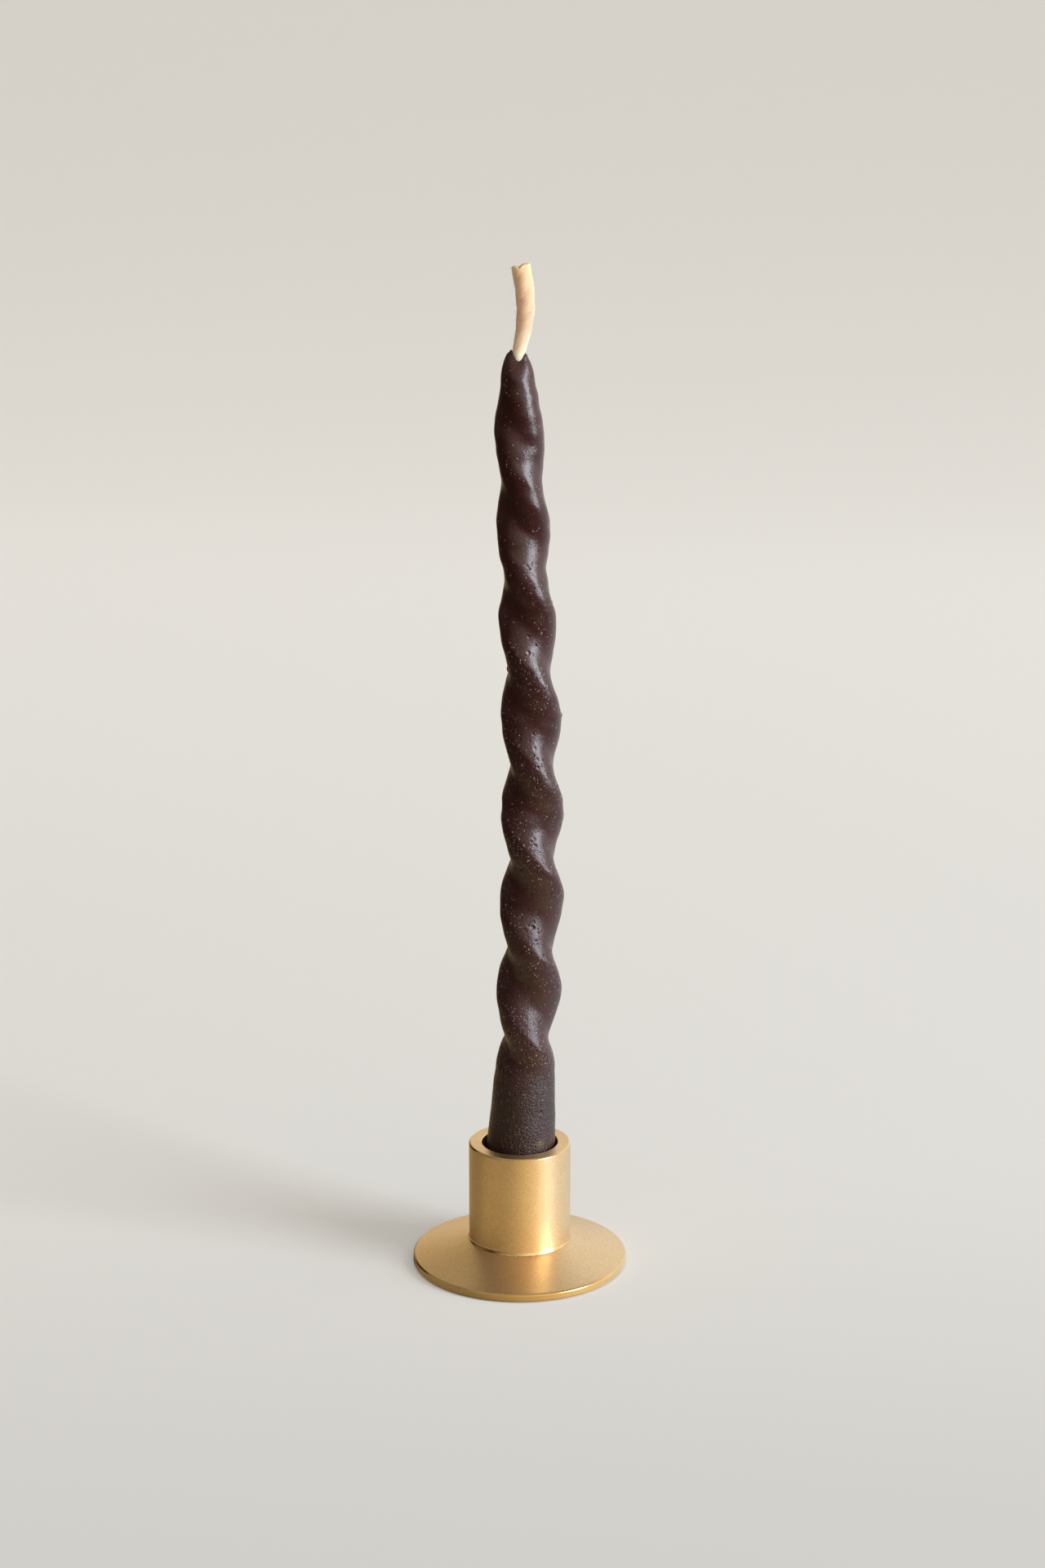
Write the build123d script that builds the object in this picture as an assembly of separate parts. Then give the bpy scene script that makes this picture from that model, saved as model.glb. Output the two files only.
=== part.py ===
from build123d import *

import math
import os

# A slim twisted candle in a turned brass holder, in millimetres, +Z up.
# The origin is the centre of the felt pad's underside, on the table.

# Base plate: a low cone with a polished upright rim
BASE_DIAMETER = 38.0
RIM_HEIGHT = 1.25
PLATE_RISE = 2.85
EDGE_CHAMFER = 0.25
UNDER_CHAMFER = 0.1

# Felt pad under the base plate
PAD_THICKNESS = 0.8
PAD_PROUD = 0.3
PAD_MARGIN = 1.4
PAD_CLEARANCE = 0.1

# Candle cup
CUP_DIAMETER = 18.0
CUP_HEIGHT = 18.05
CUP_WALL = 2.3
MOUTH_CHAMFER = 0.12
FOOT_FILLET = 0.22
FOOT_LAND = 0.08
FLOOR_SKIN = 0.6

# Screw and washer that clamp the cup to the plate from below
SCREW_DIAMETER = 3.0
THREAD_ENGAGEMENT = 3.0
THREAD_CLEARANCE = 0.02
TAP_RUNOUT = 0.5
HEAD_DIAMETER = 5.7
HEAD_HEIGHT = 1.65
HEAD_FLAT_DIAMETER = 2.9
DOME_RISE = 0.66
DOME_BULGE = 0.33
HEAD_GAP = 0.15
HEX_KEY = 2.0
HEX_DEPTH = 1.04
WASHER_THICKNESS = 0.5
WASHER_BEARING = 0.95
WASHER_CLEARANCE = 0.1
POCKET_CLEARANCE = 0.5
SPIGOT_WALL = 1.0
SPIGOT_CLEARANCE = 0.05
SPIGOT_GAP = 0.2

# Candle wax: heights are measured from the candle's foot, on the floor of the socket
WAX_LENGTH = 152.5
CANDLE_PLAY = 0.5
FOOT_STRAIGHT = 11.6
FOOT_TAPER = 0.06
TWIST_START = 27.0
TWIST_BLEND = 6.2
BODY_RADIUS = 4.74
SHOULDER_RADIUS = 3.79
TAPER_POWER = 1.58
FLATTEN_LOW = 0.207
FLATTEN_HIGH = 0.122
HALF_TURN = 16.3
FIRST_BULGE = 41.9
TIP_LENGTH = 14.8
TIP_FULLNESS = 0.38
TIP_LIP = 0.3

# Bow of the candle: it leans towards +X in the middle and comes back upright
BOW = 2.2
BOW_START = 9.8
BOW_PEAK = 70.9
BOW_END = -0.5

# Wick: one cotton cord from the candle's foot, with a free end that swells
WICK_DIAMETER = 2.1
WICK_END_DIAMETER = 3.2
WICK_STUB = 14.6
WICK_EXIT = 0.15
WICK_SET = 0.35
WICK_BEND = 1.03
WICK_SWELL_SHARE = 0.8
WICK_RUN = 15.0
WICK_EXIT_RUN = 6.0
ARC_SHARE = 0.45

# Fineness of the lofted sections
SECTION_STEP = 1.5
SECTION_ARCS = 8
STUB_SECTIONS = 8

# Radii worked out from the diameters
base_r = BASE_DIAMETER / 2
pad_r = base_r - PAD_MARGIN
recess_r = pad_r + PAD_CLEARANCE
cup_r = CUP_DIAMETER / 2
foot_r = cup_r + FOOT_FILLET
socket_r = cup_r - CUP_WALL
screw_r = SCREW_DIAMETER / 2
tap_r = screw_r + THREAD_CLEARANCE
spigot_r = screw_r + SPIGOT_WALL
plate_bore_r = spigot_r + SPIGOT_CLEARANCE
washer_r = plate_bore_r + WASHER_BEARING
pocket_r = max(washer_r, HEAD_DIAMETER / 2) + POCKET_CLEARANCE
plug_r = socket_r - CANDLE_PLAY
wick_r = WICK_DIAMETER / 2

# Heights above the table, from the pad upwards
rim_top = PAD_PROUD + RIM_HEIGHT
seat = rim_top + PLATE_RISE
head_bottom = PAD_THICKNESS + HEAD_GAP
head_top = head_bottom + HEAD_HEIGHT
pocket_top = head_top + WASHER_THICKNESS
spigot_bottom = pocket_top + SPIGOT_GAP
screw_top = seat + THREAD_ENGAGEMENT
tap_top = screw_top + TAP_RUNOUT
socket_floor = tap_top + FLOOR_SKIN
cup_top = seat + CUP_HEIGHT

# Heights above the candle's foot
shoulder = WAX_LENGTH - TIP_LENGTH
wick_top = WAX_LENGTH + WICK_STUB


def turned(*edges):
    """Solid turned about Z from a closed half outline, drawn flat and stood up in the XZ plane."""
    return revolve(Plane.XZ * make_face(edges), Axis.Z)


def make_base_plate():
    """Low brass cone with a bore for the cup's spigot, a screw pocket and a recess for the pad."""
    return turned(Polyline(
        (plate_bore_r, pocket_top),
        (plate_bore_r, seat),
        (foot_r, seat),
        (base_r - EDGE_CHAMFER, rim_top),
        (base_r, rim_top - EDGE_CHAMFER),
        (base_r, PAD_PROUD + UNDER_CHAMFER),
        (base_r - UNDER_CHAMFER, PAD_PROUD),
        (recess_r, PAD_PROUD),
        (recess_r, PAD_THICKNESS),
        (pocket_r, PAD_THICKNESS),
        (pocket_r, pocket_top),
        (plate_bore_r, pocket_top),
    ))


def make_felt_pad():
    """Thin felt disc that stands a little proud of its recess and meets the table."""
    return Pos(0, 0, PAD_THICKNESS / 2) * Cylinder(pad_r, PAD_THICKNESS)


def make_candle_cup():
    """Thick-walled cup with a hollow fillet at its foot, a spigot below and a blind tapped hole."""
    land_top = seat + FOOT_LAND
    wall_start = land_top + FOOT_FILLET
    wall_and_socket = Polyline(
        (cup_r, wall_start),
        (cup_r, cup_top - EDGE_CHAMFER),
        (cup_r - EDGE_CHAMFER, cup_top),
        (socket_r + MOUTH_CHAMFER, cup_top),
        (socket_r, cup_top - MOUTH_CHAMFER),
        (socket_r, socket_floor),
        (0, socket_floor),
        (0, tap_top),
        (tap_r, tap_top),
        (tap_r, spigot_bottom),
        (spigot_r, spigot_bottom),
        (spigot_r, seat),
        (foot_r, seat),
        (foot_r, land_top),
    )
    hollow_fillet = CenterArc((foot_r, wall_start), FOOT_FILLET, start_angle=180, arc_size=90)
    return turned(wall_and_socket, hollow_fillet)


def make_cup_washer():
    """Plain washer that bridges the plate's bore under the screw's head."""
    ring = Cylinder(washer_r, WASHER_THICKNESS) - Cylinder(screw_r + WASHER_CLEARANCE, WASHER_THICKNESS)
    return Pos(0, 0, pocket_top - WASHER_THICKNESS / 2) * ring


def make_cup_screw():
    """Button-head screw, head down, with a hexagon recess and a plain shank in place of its thread."""
    shank_height = screw_top - head_top
    shank = Pos(0, 0, head_top + shank_height / 2) * Cylinder(screw_r, shank_height)
    flat_r = HEAD_FLAT_DIAMETER / 2
    head_r = HEAD_DIAMETER / 2
    dome = ThreePointArc(
        (flat_r, head_bottom),
        ((head_r + flat_r) / 2 + DOME_BULGE, head_bottom + DOME_RISE),
        (head_r, head_top),
    )
    flats = Polyline((head_r, head_top), (0, head_top), (0, head_bottom), (flat_r, head_bottom))
    head = turned(dome, flats)
    recess = extrude(RegularPolygon(HEX_KEY / math.sqrt(3), 6), HEX_DEPTH)
    return head + shank - Pos(0, 0, head_bottom) * recess


def smooth_step(share):
    """Ease from 0 to 1 with level ends."""
    share = min(max(share, 0.0), 1.0)
    return share * share * (3 - 2 * share)


def bow_at(height):
    """Sideways place of the candle's axis: a quarter sine up to the peak, then half a cosine wave back."""
    if height < BOW_PEAK:
        rise = max(height - BOW_START, 0.0) / (BOW_PEAK - BOW_START)
        return BOW * math.sin(rise * math.pi / 2)
    fall = min((height - BOW_PEAK) / (wick_top - BOW_PEAK), 1.0)
    return BOW_END + (BOW - BOW_END) * (1 + math.cos(fall * math.pi)) / 2


def tip_share():
    """Share of the ogive's full length at which its radius has shrunk to the wick's lip."""
    lip_ratio = (wick_r + TIP_LIP) / SHOULDER_RADIUS
    return math.sqrt(1 - lip_ratio ** (1 / TIP_FULLNESS))


def section_radii(height):
    """Mean radius of the wax at a height, and how far its two lobes stand out from that."""
    foot = plug_r - FOOT_TAPER * max(height - FOOT_STRAIGHT, 0.0)
    along = min(max((height - TWIST_START) / (shoulder - TWIST_START), 0.0), 1.0)
    body = BODY_RADIUS - (BODY_RADIUS - SHOULDER_RADIUS) * along ** TAPER_POWER
    twisted = smooth_step((height - TWIST_START) / TWIST_BLEND)
    mean = foot + (body - foot) * twisted
    lobe = (FLATTEN_LOW + (FLATTEN_HIGH - FLATTEN_LOW) * along) * twisted
    into_tip = max(height - shoulder, 0.0) / TIP_LENGTH * tip_share()
    mean *= (1 - into_tip**2) ** TIP_FULLNESS
    return mean, mean * lobe * (1 - into_tip)


def wax_section(height):
    """Outline of the wax at a height: radius = mean + lobe * cos(2 * angle), turned by the twist."""
    mean, lobe = section_radii(height)
    turn = -math.pi * (height - FIRST_BULGE) / HALF_TURN
    half_arc = math.pi / SECTION_ARCS

    def point(angle):
        radius = mean + lobe * math.cos(2 * angle)
        return (
            bow_at(height) + radius * math.cos(angle + turn),
            radius * math.sin(angle + turn),
            socket_floor + height,
        )

    middles = [2 * half_arc * i for i in range(SECTION_ARCS)]
    return Wire([ThreePointArc(point(a - half_arc), point(a), point(a + half_arc)) for a in middles])


def wick_route():
    """Points of the wick's axis inside the wax, with upright first and last runs."""
    exit_x = bow_at(WAX_LENGTH) + WICK_EXIT
    exit_run_start = WAX_LENGTH - WICK_EXIT_RUN
    runs = max(round((exit_run_start - BOW_START) / WICK_RUN), 2)
    step = (exit_run_start - BOW_START) / runs
    route = [(0.0, 0.0), (0.0, BOW_START)]
    route += [(bow_at(BOW_START + step * i), BOW_START + step * i) for i in range(1, runs)]
    route += [(exit_x, exit_run_start), (exit_x, WAX_LENGTH)]
    return [Vector(x, 0, socket_floor + height) for x, height in route]


def corner_radii(route):
    """Largest tangent arc at each corner: a share of the shorter run over the half turn's tangent."""
    radii = []
    for before, corner, after in zip(route, route[1:], route[2:]):
        half_turn = math.radians((corner - before).get_angle(after - corner)) / 2
        shorter = min((corner - before).length, (after - corner).length)
        radii.append(ARC_SHARE * shorter / math.tan(half_turn))
    return radii


def make_wick_core():
    """The stretch of wick inside the wax: a round cord on straight runs and tangent arcs."""
    route = wick_route()
    radii = corner_radii(route)
    path = FilletPolyline(*route, radius=radii)
    core = sweep(Plane(route[0]) * Circle(wick_r), path=path)
    print("wick arcs, radii:", [round(radius) for radius in radii])
    print("wick core:", round(core.volume, 2), "section x length:", round(math.pi * wick_r**2 * path.length, 2))
    return core


def make_wick_stub():
    """The free end of the wick: a bent cord that swells towards its cut end."""
    start = wick_route()[-1]

    def axis_point(share):
        sideways = WICK_SET * share + WICK_BEND * math.sin(math.pi * share)
        return start + Vector(sideways, 0, WICK_STUB * share)

    sections = [Plane(start) * Circle(wick_r)]
    for i in range(1, STUB_SECTIONS + 1):
        share = i / STUB_SECTIONS
        slope = (WICK_SET + WICK_BEND * math.pi * math.cos(math.pi * share)) / WICK_STUB
        swell = math.sin(min(share / WICK_SWELL_SHARE, 1.0) * math.pi / 2)
        radius = wick_r + (WICK_END_DIAMETER / 2 - wick_r) * swell
        plane = Plane(axis_point(share), x_dir=(0, 1, 0), z_dir=(slope, 0, 1))
        sections.append(plane * Circle(radius))
    return loft(sections)


def make_candle_wax(core):
    """Twisted wax body lofted through its sections, with the wick's channel left open."""
    steps = round(WAX_LENGTH / SECTION_STEP)
    body = Solid.make_loft([wax_section(WAX_LENGTH * i / steps) for i in range(steps + 1)])
    return body - core


def main():
    """Build every piece and write one file each."""
    core = make_wick_core()
    pieces = {
        "base_plate": make_base_plate(),
        "felt_pad": make_felt_pad(),
        "candle_cup": make_candle_cup(),
        "cup_washer": make_cup_washer(),
        "cup_screw": make_cup_screw(),
        "candle_wax": make_candle_wax(core),
        "candle_wick": core + make_wick_stub(),
    }
    os.makedirs("parts", exist_ok=True)
    for name, piece in pieces.items():
        export_step(piece, f"parts/{name}.step")
    print("clamp wall:", round(seat - pocket_top, 3), "socket depth:", round(cup_top - socket_floor, 3))
    print("height of the wick's end:", round(socket_floor + wick_top, 2))


main()
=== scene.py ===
"""Twisted candle in a turned brass holder: the finished look, built around the fixed frame.

Lengths in the classes are in millimetres and angles in radians, in the part's own frame: +Z up, with the
origin under the middle of the felt pad. put_piece turns millimetres into metres.
"""

import logging
import math
from dataclasses import dataclass, field
from enum import Enum
from typing import Any, Mapping, Sequence, Union

import bpy
import numpy as np
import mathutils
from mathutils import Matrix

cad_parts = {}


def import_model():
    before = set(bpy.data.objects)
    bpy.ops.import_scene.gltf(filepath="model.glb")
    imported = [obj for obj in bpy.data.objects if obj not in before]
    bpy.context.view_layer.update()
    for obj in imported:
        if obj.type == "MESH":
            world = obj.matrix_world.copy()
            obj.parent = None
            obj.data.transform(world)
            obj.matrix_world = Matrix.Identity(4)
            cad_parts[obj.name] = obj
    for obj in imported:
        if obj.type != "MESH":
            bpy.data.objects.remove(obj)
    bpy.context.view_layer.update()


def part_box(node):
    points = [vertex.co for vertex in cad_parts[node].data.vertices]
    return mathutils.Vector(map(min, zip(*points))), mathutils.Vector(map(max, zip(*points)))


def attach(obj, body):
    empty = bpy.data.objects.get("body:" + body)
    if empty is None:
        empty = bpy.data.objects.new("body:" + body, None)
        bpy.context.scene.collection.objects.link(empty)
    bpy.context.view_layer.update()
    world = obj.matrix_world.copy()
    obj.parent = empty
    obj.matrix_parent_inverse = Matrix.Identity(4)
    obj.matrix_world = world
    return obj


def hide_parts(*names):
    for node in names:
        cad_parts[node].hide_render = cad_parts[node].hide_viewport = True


LOG = logging.getLogger("twisted_candle")
MM = 0.001
FULL_TURN = 2 * math.pi
Colour = tuple[float, float, float]
Vector = tuple[float, float, float]


class Body(Enum):
    """The two bodies of the frame that pieces ride on."""

    HOLDER = "holder"
    CANDLE = "candle"


class Slot(Enum):
    """The material slots of the record."""

    BRASS = "satin_brass"
    WAX = "dyed_wax"
    COTTON = "waxed_cotton"
    FELT = "felt"
    STEEL = "plated_steel"


# Shader graphs


class Signal:
    """One output of a shader node. Arithmetic between signals and numbers adds Math nodes."""

    def __init__(self, graph: "ShaderGraph", socket: bpy.types.NodeSocket) -> None:
        """Keep the socket and the graph that it belongs to."""
        self.graph = graph
        self.socket = socket

    def _math(self, operation: str, *terms: "Term") -> "Signal":
        """Add one Math node over the given terms."""
        return self.graph.node("ShaderNodeMath", {"operation": operation}, dict(enumerate(terms)))

    def __add__(self, other: "Term") -> "Signal":
        """This plus other."""
        return self._math("ADD", self, other)

    def __radd__(self, other: "Term") -> "Signal":
        """Other plus this."""
        return self._math("ADD", other, self)

    def __sub__(self, other: "Term") -> "Signal":
        """This minus other."""
        return self._math("SUBTRACT", self, other)

    def __rsub__(self, other: "Term") -> "Signal":
        """Other minus this."""
        return self._math("SUBTRACT", other, self)

    def __mul__(self, other: "Term") -> "Signal":
        """This times other."""
        return self._math("MULTIPLY", self, other)

    def __rmul__(self, other: "Term") -> "Signal":
        """Other times this."""
        return self._math("MULTIPLY", other, self)

    def rise(self, low: "Term", high: "Term") -> "Signal":
        """Ease from 0 where this is at low to 1 where it is at high."""
        return self.graph.node(
            "ShaderNodeMapRange",
            {"interpolation_type": "SMOOTHSTEP"},
            {"Value": self, "From Min": low, "From Max": high},
        )


Term = Union[Signal, float]
Tone = Union[Signal, Colour]


class ShaderGraph:
    """The node tree of one material or world, filled by node()."""

    def __init__(self, tree: bpy.types.NodeTree) -> None:
        """Start from an emptied tree."""
        self.tree = tree
        self.tree.nodes.clear()

    def node(
        self,
        kind: str,
        settings: Mapping[str, Any] | None = None,
        inputs: Mapping[Union[str, int], Any] | None = None,
        output: Union[str, int] = 0,
    ) -> Signal:
        """Add a node.

        Args:
            kind: the node's type.
            settings: its own options, set first. The option stops takes (position, colour) pairs of a ramp.
            inputs: a value or a signal for each named or numbered input.
            output: which output to hand back.

        Returns:
            That output as a signal.
        """
        made = self.tree.nodes.new(kind)
        for name, value in (settings or {}).items():
            if name == "stops":
                self._set_stops(made.color_ramp, value)
            else:
                setattr(made, name, value)
        for name, value in (inputs or {}).items():
            if isinstance(value, Signal):
                self.tree.links.new(value.socket, made.inputs[name])
            else:
                made.inputs[name].default_value = value
        return Signal(self, made.outputs[output] if made.outputs else None)

    @staticmethod
    def _set_stops(ramp: bpy.types.ColorRamp, stops: Sequence[tuple[float, Colour]]) -> None:
        """Give a ramp its stops, in order of position."""
        while len(ramp.elements) < len(stops):
            ramp.elements.new(1.0)
        for element, (position, colour) in zip(ramp.elements, stops):
            element.position = position
            element.color = (*colour, 1.0)

    def place(self) -> Signal:
        """Object coordinates, in metres."""
        return self.node("ShaderNodeTexCoord", output="Object")

    def vector(self, operation: str, *terms: Any, output: str = "Vector") -> Signal:
        """Add one Vector Math node over the given vectors."""
        return self.node("ShaderNodeVectorMath", {"operation": operation}, dict(enumerate(terms)), output)

    def along(self, vector: Signal, direction: Vector) -> Signal:
        """How far a vector points in a direction: their dot product."""
        return self.vector("DOT_PRODUCT", vector, direction, output="Value")

    def reach(self, vector: Signal) -> Signal:
        """Length of a vector."""
        return self.vector("LENGTH", vector, output="Value")

    def part(self, vector: Signal, axis: str) -> Signal:
        """One of a vector's three numbers, named X, Y or Z."""
        return self.node("ShaderNodeSeparateXYZ", {}, {0: vector}, output=axis)

    def ray(self, kind: str) -> Signal:
        """1 for rays of one kind, such as Is Camera Ray, and 0 for all others."""
        return self.node("ShaderNodeLightPath", output=kind)

    def shine(self, kind: str, colour: "Tone", strength: Term) -> Signal:
        """A shader that gives off light: Emission on a surface, or Background in the world."""
        tone = colour if isinstance(colour, Signal) else (*colour, 1.0)
        return self.node("ShaderNode" + kind, {}, {"Color": tone, "Strength": strength})

    def blend(self, share: Signal, first: Signal, second: Signal) -> Signal:
        """Mix two shaders: the first at share 0, the second at share 1."""
        return self.node("ShaderNodeMixShader", {}, {0: share, 1: first, 2: second})

    def mark(self, name: str, output: str = "Fac") -> Signal:
        """A value that the mesh keeps per point."""
        return self.node("ShaderNodeAttribute", {"attribute_name": name}, output=output)

    def noise(self, place: Signal, size_mm: float, detail: float = 3.0, roughness: float = 0.5) -> Signal:
        """Cloudy noise from 0 to 1 whose largest features are about size_mm wide."""
        inputs = {"Vector": place, "Scale": 1 / (size_mm * MM), "Detail": detail, "Roughness": roughness}
        return self.node("ShaderNodeTexNoise", {}, inputs)

    def mix(self, share: Term, first: "Tone", second: "Tone") -> Signal:
        """Blend two colours: the first at share 0, the second at share 1."""
        pair = [c if isinstance(c, Signal) else (*c, 1.0) for c in (first, second)]
        inputs = {0: share, 6: pair[0], 7: pair[1]}
        return self.node("ShaderNodeMix", {"data_type": "RGBA", "clamp_factor": True}, inputs, output=2)

    def bump(
        self,
        height: Signal,
        depth_mm: float,
        strength: float = 1.0,
        over: Signal | None = None,
    ) -> Signal:
        """Normal of a relief whose height goes from 0 to depth_mm, laid over another one if it is given."""
        inputs = {"Strength": strength, "Distance": depth_mm * MM, "Height": height}
        if over is not None:
            inputs["Normal"] = over
        return self.node("ShaderNodeBump", {}, inputs)

    def finish(self, **inputs: Any) -> None:
        """End the graph in one Principled shader, with spaces of socket names written as underscores."""
        named = {name.replace("_", " "): value for name, value in inputs.items()}
        shader = self.node("ShaderNodeBsdfPrincipled", {}, named)
        self.node("ShaderNodeOutputMaterial", {}, {"Surface": shader})


@dataclass(frozen=True)
class Finish:
    """A surface finish: its name, and the slot of the record that it stands for."""

    name: str
    slot: Slot

    def material(self) -> bpy.types.Material:
        """Return the finish's material, made the first time that it is asked for."""
        made = bpy.data.materials.get(self.name)
        if made is None:
            made = bpy.data.materials.new(self.name)
            made.use_nodes = True
            self.paint(ShaderGraph(made.node_tree))
        return made

    def paint(self, graph: ShaderGraph) -> None:
        """Fill the material's graph."""
        raise NotImplementedError

    def dress(self, piece: bpy.types.Object) -> None:
        """Make this the only material of a piece."""
        piece.data.materials.clear()
        piece.data.materials.append(self.material())


@dataclass(frozen=True)
class SatinBrass(Finish):
    """Lacquered satin brass: fine blasted grain over faint turning rings, with polished edges."""

    name: str = "turned_brass"
    slot: Slot = Slot.BRASS
    tone: Colour = (0.92, 0.70, 0.41)
    aged_tone: Colour = (0.87, 0.64, 0.35)
    grain_tone: Colour = (0.70, 0.47, 0.22)
    edge_tone: Colour = (0.84, 0.60, 0.26)
    satin_roughness: float = 0.39
    polished_roughness: float = 0.16
    turned_stretch: float = 0.45
    stretch_turn: float = 0.25
    lacquer: float = 0.35
    lacquer_roughness: float = 0.28
    grain_mm: float = 0.16
    grain_depth_mm: float = 0.010
    ring_mm: float = 0.12
    ring_depth_mm: float = 0.008
    fleck_mm: float = 0.30
    fleck_share: float = 0.6
    mottle_mm: float = 0.7
    cloud_mm: float = 6.0

    def paint(self, graph: ShaderGraph) -> None:
        """Grain and rings make the relief, slow clouds the tone, and the polish mark the bright edges."""
        place = graph.place()
        polish = graph.mark("polish")
        grain = graph.noise(place, self.grain_mm, detail=2.0, roughness=0.6)
        clouds = graph.noise(place, self.cloud_mm, detail=4.0)
        mottle = graph.noise(place, self.mottle_mm, detail=3.0)
        rings = graph.noise(self.ring_place(graph, place), self.ring_mm, detail=1.0)
        age = (clouds * 0.6 + mottle * 0.4).rise(0.35, 0.68)
        satin = graph.mix(age, self.tone, self.aged_tone)
        flecked = graph.noise(place, self.fleck_mm, detail=2.0, roughness=0.7).rise(0.30, 0.70)
        satin = graph.mix(flecked * self.fleck_share, satin, self.grain_tone)
        roughness = self.satin_roughness + (mottle - 0.5) * 0.10 + (grain - 0.5) * 0.08
        dull = 1 - polish * 0.85
        turned = graph.bump(rings * dull, self.ring_depth_mm, strength=0.7)
        graph.finish(
            Base_Color=graph.mix(polish, satin, self.edge_tone),
            Metallic=1.0,
            Roughness=roughness + polish * (self.polished_roughness - self.satin_roughness),
            Anisotropic=self.turned_stretch,
            Anisotropic_Rotation=self.stretch_turn,
            Coat_Weight=self.lacquer,
            Coat_Roughness=self.lacquer_roughness,
            Normal=graph.bump(grain * dull, self.grain_depth_mm, strength=0.35, over=turned),
        )

    @staticmethod
    def ring_place(graph: ShaderGraph, place: Signal) -> Signal:
        """Coordinates that change along the turned profile alone: distance from the axis, and height."""
        radius = graph.reach(graph.vector("MULTIPLY", place, (1, 1, 0)))
        return graph.node("ShaderNodeCombineXYZ", {}, {"X": radius, "Y": 0.0, "Z": graph.part(place, "Z")})


@dataclass(frozen=True)
class DyedWax(Finish):
    """Moulded dark brown wax with a soft gloss, and air pits that are densest low on the candle.

    The two bands are heights above the table, in metres, over which the foot ends and the gloss grows.
    """

    name: str = "moulded_wax"
    slot: Slot = Slot.WAX
    tone: Colour = (0.036, 0.0066, 0.0050)
    bloom_tone: Colour = (0.044, 0.0105, 0.0084)
    # Brassy colour painted on the wax just above the cup.
    brassy_tone: Colour = (0.105, 0.066, 0.024)
    # Painted highlights: tone of the pale dots painted in as glints.
    glint_tone: Colour = (0.55, 0.46, 0.42)
    foot_tone: Colour = (0.023, 0.0038, 0.0040)
    foot_roughness: float = 0.37
    tip_roughness: float = 0.31
    foot_polish: float = 0.07
    shine: float = 0.62
    refraction: float = 1.5
    foot_band: tuple[float, float] = (0.030, 0.042)
    gloss_band: tuple[float, float] = (0.03, 0.13)
    crinkle_mm: float = 0.34
    skin_mm: float = 0.55
    cloud_mm: float = 5.0
    swarm_mm: float = 7.0
    relief_mm: float = 0.16
    pit_cell_mm: float = 0.80
    pit_widest: float = 0.42
    speck_cell_mm: float = 0.34
    speck_widest: float = 0.46
    glint_cell_mm: float = 0.36
    glint_widest: float = 0.50

    def paint(self, graph: ShaderGraph) -> None:
        """Two sizes of pits are sunk into a skin that is crinkled low down and glossier towards the tip, and
        pale dots are painted into the colour as glints.
        """
        place = graph.place()
        height = graph.part(place, "Z")
        aloft = height.rise(*self.gloss_band)
        above_foot = height.rise(*self.foot_band)
        crinkle = graph.noise(place, self.crinkle_mm, detail=2.0, roughness=0.7)
        clouds = graph.noise(place, self.cloud_mm, detail=5.0, roughness=0.6)
        skin = graph.noise(place, self.skin_mm, detail=3.0)
        crowd = graph.mark("crowd")
        swarm = graph.noise(place, self.swarm_mm, detail=2.0).rise(0.36, 0.62)
        pits = self.pits(graph, place, self.pit_cell_mm, self.pit_widest, crowd * (swarm * 0.6 + 0.5))
        specks = self.pits(graph, place, self.speck_cell_mm, self.speck_widest, crowd * (swarm * 0.7 + 0.5))
        relief = 1.0 - pits - specks * 0.65
        uneven = skin * 0.4 + crinkle * (2.0 - above_foot * 1.4 - aloft * 0.4)
        waves = graph.bump(uneven, self.relief_mm, strength=0.8)
        tone = graph.mix(clouds.rise(0.35, 0.7), self.tone, self.bloom_tone)
        tone = graph.mix(above_foot, self.foot_tone, tone)
        # Brassy colour painted on the wax just above the cup's rim.
        tone = graph.mix(graph.mark("brassy_patch"), tone, self.brassy_tone)
        # Painted highlights: pale dots in the base colour stand in for the glints on the pits, fainter on the
        # foot.
        flecked = crowd * (swarm * 0.9 + 0.55)
        painted_glints = self.pits(graph, place, self.glint_cell_mm, self.glint_widest, flecked)
        painted_glints = painted_glints * (skin.rise(0.3, 0.7) * 0.85 + 0.15) * (above_foot * 0.55 + 0.45)
        tone = graph.mix(painted_glints, tone, self.glint_tone)
        gloss = self.foot_roughness + aloft * (self.tip_roughness - self.foot_roughness)
        gloss = gloss - (1 - above_foot) * self.foot_polish
        graph.finish(
            Base_Color=tone,
            Roughness=gloss + (clouds - 0.5) * 0.14 + (skin - 0.5) * 0.10 - pits * 0.10,
            IOR=self.refraction,
            Specular_IOR_Level=self.shine,
            Normal=graph.bump(relief, self.relief_mm, strength=1.0, over=waves),
        )

    @staticmethod
    def pits(graph: ShaderGraph, place: Signal, cell_mm: float, widest: float, share: Signal) -> Signal:
        """Round pits, one in some of the cells of a cell pattern.

        Args:
            graph: the graph to add to.
            place: coordinates in metres.
            cell_mm: width of a cell.
            widest: radius of the widest pit, as a share of a cell.
            share: share of the cells that hold a pit.

        Returns:
            1 in the middle of a pit and 0 outside of all pits.
        """
        cell_inputs = {"Vector": place, "Scale": 1 / (cell_mm * MM), "Randomness": 1.0}
        distance = graph.node("ShaderNodeTexVoronoi", {}, cell_inputs, output="Distance")
        colour = graph.node("ShaderNodeTexVoronoi", {}, cell_inputs, output="Color")
        chance = graph.node("ShaderNodeSeparateColor", {}, {"Color": colour}, output="Red")
        size = graph.node("ShaderNodeSeparateColor", {}, {"Color": colour}, output="Green")
        radius = (size * size * 0.65 + 0.35) * widest
        holds = (share - chance).rise(0.0, 0.02)
        return (1 - distance.rise(radius * 0.3, radius)) * holds * (size * 0.5 + 0.5)


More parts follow.
